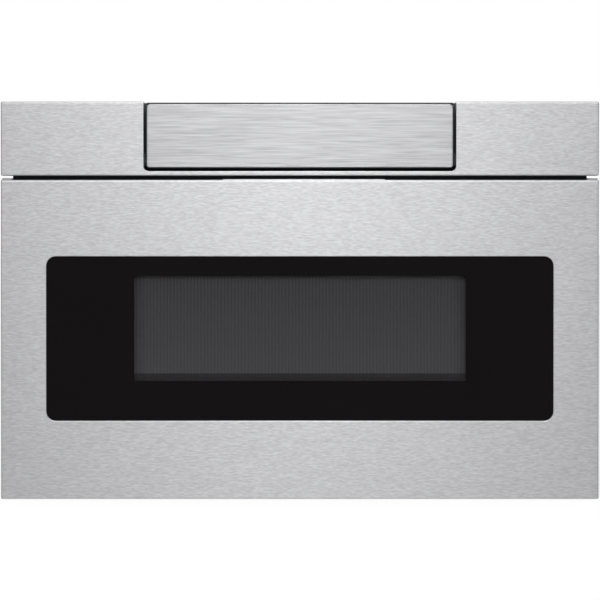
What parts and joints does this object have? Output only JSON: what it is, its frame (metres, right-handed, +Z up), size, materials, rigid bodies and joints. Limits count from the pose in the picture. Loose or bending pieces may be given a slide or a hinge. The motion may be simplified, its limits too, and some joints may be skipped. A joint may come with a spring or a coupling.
{
  "type": "microwave drawer",
  "caption": "Built-in microwave drawer: a steel-fronted, rack-driven drawer with a dark window slides out of its case on telescopic rails, under a control module that tilts out.",
  "frame": {"origin": "under the middle of the unit's bounding box, on the surface the case stands on", "axes": "+X to the right seen from the front, the fronts face -Y, +Z up"},
  "size_m": [0.6064, 0.594, 0.4034],
  "materials": {
    "stainless": "satin, fine brushed",
    "galvanised": "zinc-coated sheet",
    "black_steel": "satin black",
    "enamel": "baked enamel",
    "smoked_glass": "polished, printed black behind",
    "clear_glass": "polished",
    "perforated_steel": "painted, perforated",
    "black_plastic": "moulded, satin",
    "ceramic": "glazed",
    "nylon": "moulded",
    "mica": "sheet",
    "aluminium": "mill finish",
    "copper_wire": "varnished winding",
    "silicon_steel": "varnished laminations",
    "board_green": "coated board",
    "red_switch": "moulded"
  },
  "bodies": {
    "chassis": {"base_plate": "galvanised", "left_side_panel": "galvanised", "right_side_panel": "galvanised", "top_cover": "galvanised", "rear_panel": "galvanised", "front_frame": "black_steel", "upper_trim": "stainless", "recess_housing": "black_plastic", "left_hinge_pin": "stainless", "right_hinge_pin": "stainless", "oven_cavity": "enamel", "stirrer_cover": "mica", "waveguide": "aluminium", "stirrer_motor": "galvanised", "magnetron": "aluminium", "blower_housing": "galvanised", "blower_motor": "silicon_steel", "transformer_core": "silicon_steel", "transformer_winding": "copper_wire", "hv_capacitor": "aluminium", "capacitor_clamp": "galvanised", "hv_diode": "black_plastic", "power_board": "board_green", "filter_board": "board_green", "switch_bracket": "galvanised", "primary_switch": "red_switch", "monitor_switch": "red_switch", "lamp_socket": "ceramic", "cavity_lamp": "clear_glass", "cord_gland": "black_plastic", "left_outer_rail": "galvanised", "right_outer_rail": "galvanised", "gear_motor": "silicon_steel", "motor_bracket": "galvanised"},
    "drawer": {"drawer_skin": "stainless", "drawer_glass": "smoked_glass", "window_screen": "perforated_steel", "inner_panel": "enamel", "inner_glass": "clear_glass", "choke_cover": "black_plastic", "drawer_tub": "enamel", "ceramic_tray": "ceramic", "left_inner_rail": "galvanised", "right_inner_rail": "galvanised", "rail_tie_bar": "galvanised", "drive_rack": "nylon", "left_latch_hook": "black_plastic", "right_latch_hook": "black_plastic"},
    "middle_rails": {"left_middle_rail": "galvanised", "right_middle_rail": "galvanised"},
    "control_module": {"control_front": "stainless", "control_housing": "black_plastic", "control_panel": "smoked_glass", "display_window": "clear_glass", "control_board": "board_green"},
    "drive_pinion": {"drive_pinion": "nylon"},
    "blower_wheel": {"blower_wheel": "black_plastic"},
    "stirrer_fan": {"stirrer_fan": "aluminium"},
    "primary_plunger": {"primary_plunger": "nylon"},
    "monitor_plunger": {"monitor_plunger": "nylon"}
  },
  "joints": [
    {"name": "drawer_slide", "type": "slide", "parent": "chassis", "child": "drawer", "axis": [0, -1, 0], "range_m": [0, 0.38]},
    {"name": "rail_slide", "type": "slide", "parent": "chassis", "child": "middle_rails", "axis": [0, -1, 0], "range_m": [0, 0.19]},
    {"name": "pinion_spin", "type": "hinge", "parent": "chassis", "child": "drive_pinion", "pos_m": [0, -0.235, 0.036], "axis": [1, 0, 0], "range_deg": [0, 1361]},
    {"name": "control_tilt", "type": "hinge", "parent": "chassis", "child": "control_module", "pos_m": [0, -0.2905, 0.3424], "axis": [1, 0, 0], "range_deg": [0, 45]},
    {"name": "blower_spin", "type": "hinge", "parent": "chassis", "child": "blower_wheel", "pos_m": [0.165, 0.2398, 0.185], "axis": [0, 1, 0], "continuous": true},
    {"name": "stirrer_spin", "type": "hinge", "parent": "chassis", "child": "stirrer_fan", "pos_m": [0, -0.015, 0.271], "axis": [0, 0, 1], "continuous": true},
    {"name": "primary_switch_press", "type": "slide", "parent": "chassis", "child": "primary_plunger", "axis": [0, 1, 0], "range_m": [0, 0.001], "stiffness_N_per_m": 300, "springref_m": -0.002},
    {"name": "monitor_switch_press", "type": "slide", "parent": "chassis", "child": "monitor_plunger", "axis": [0, 1, 0], "range_m": [0, 0.001], "stiffness_N_per_m": 300, "springref_m": -0.002}
  ],
  "couplings": [
    {"joint": "rail_slide", "follows": "drawer_slide", "ratio": 0.5},
    {"joint": "pinion_spin", "follows": "drawer_slide", "rad_per_m": 62.5}
  ]
}
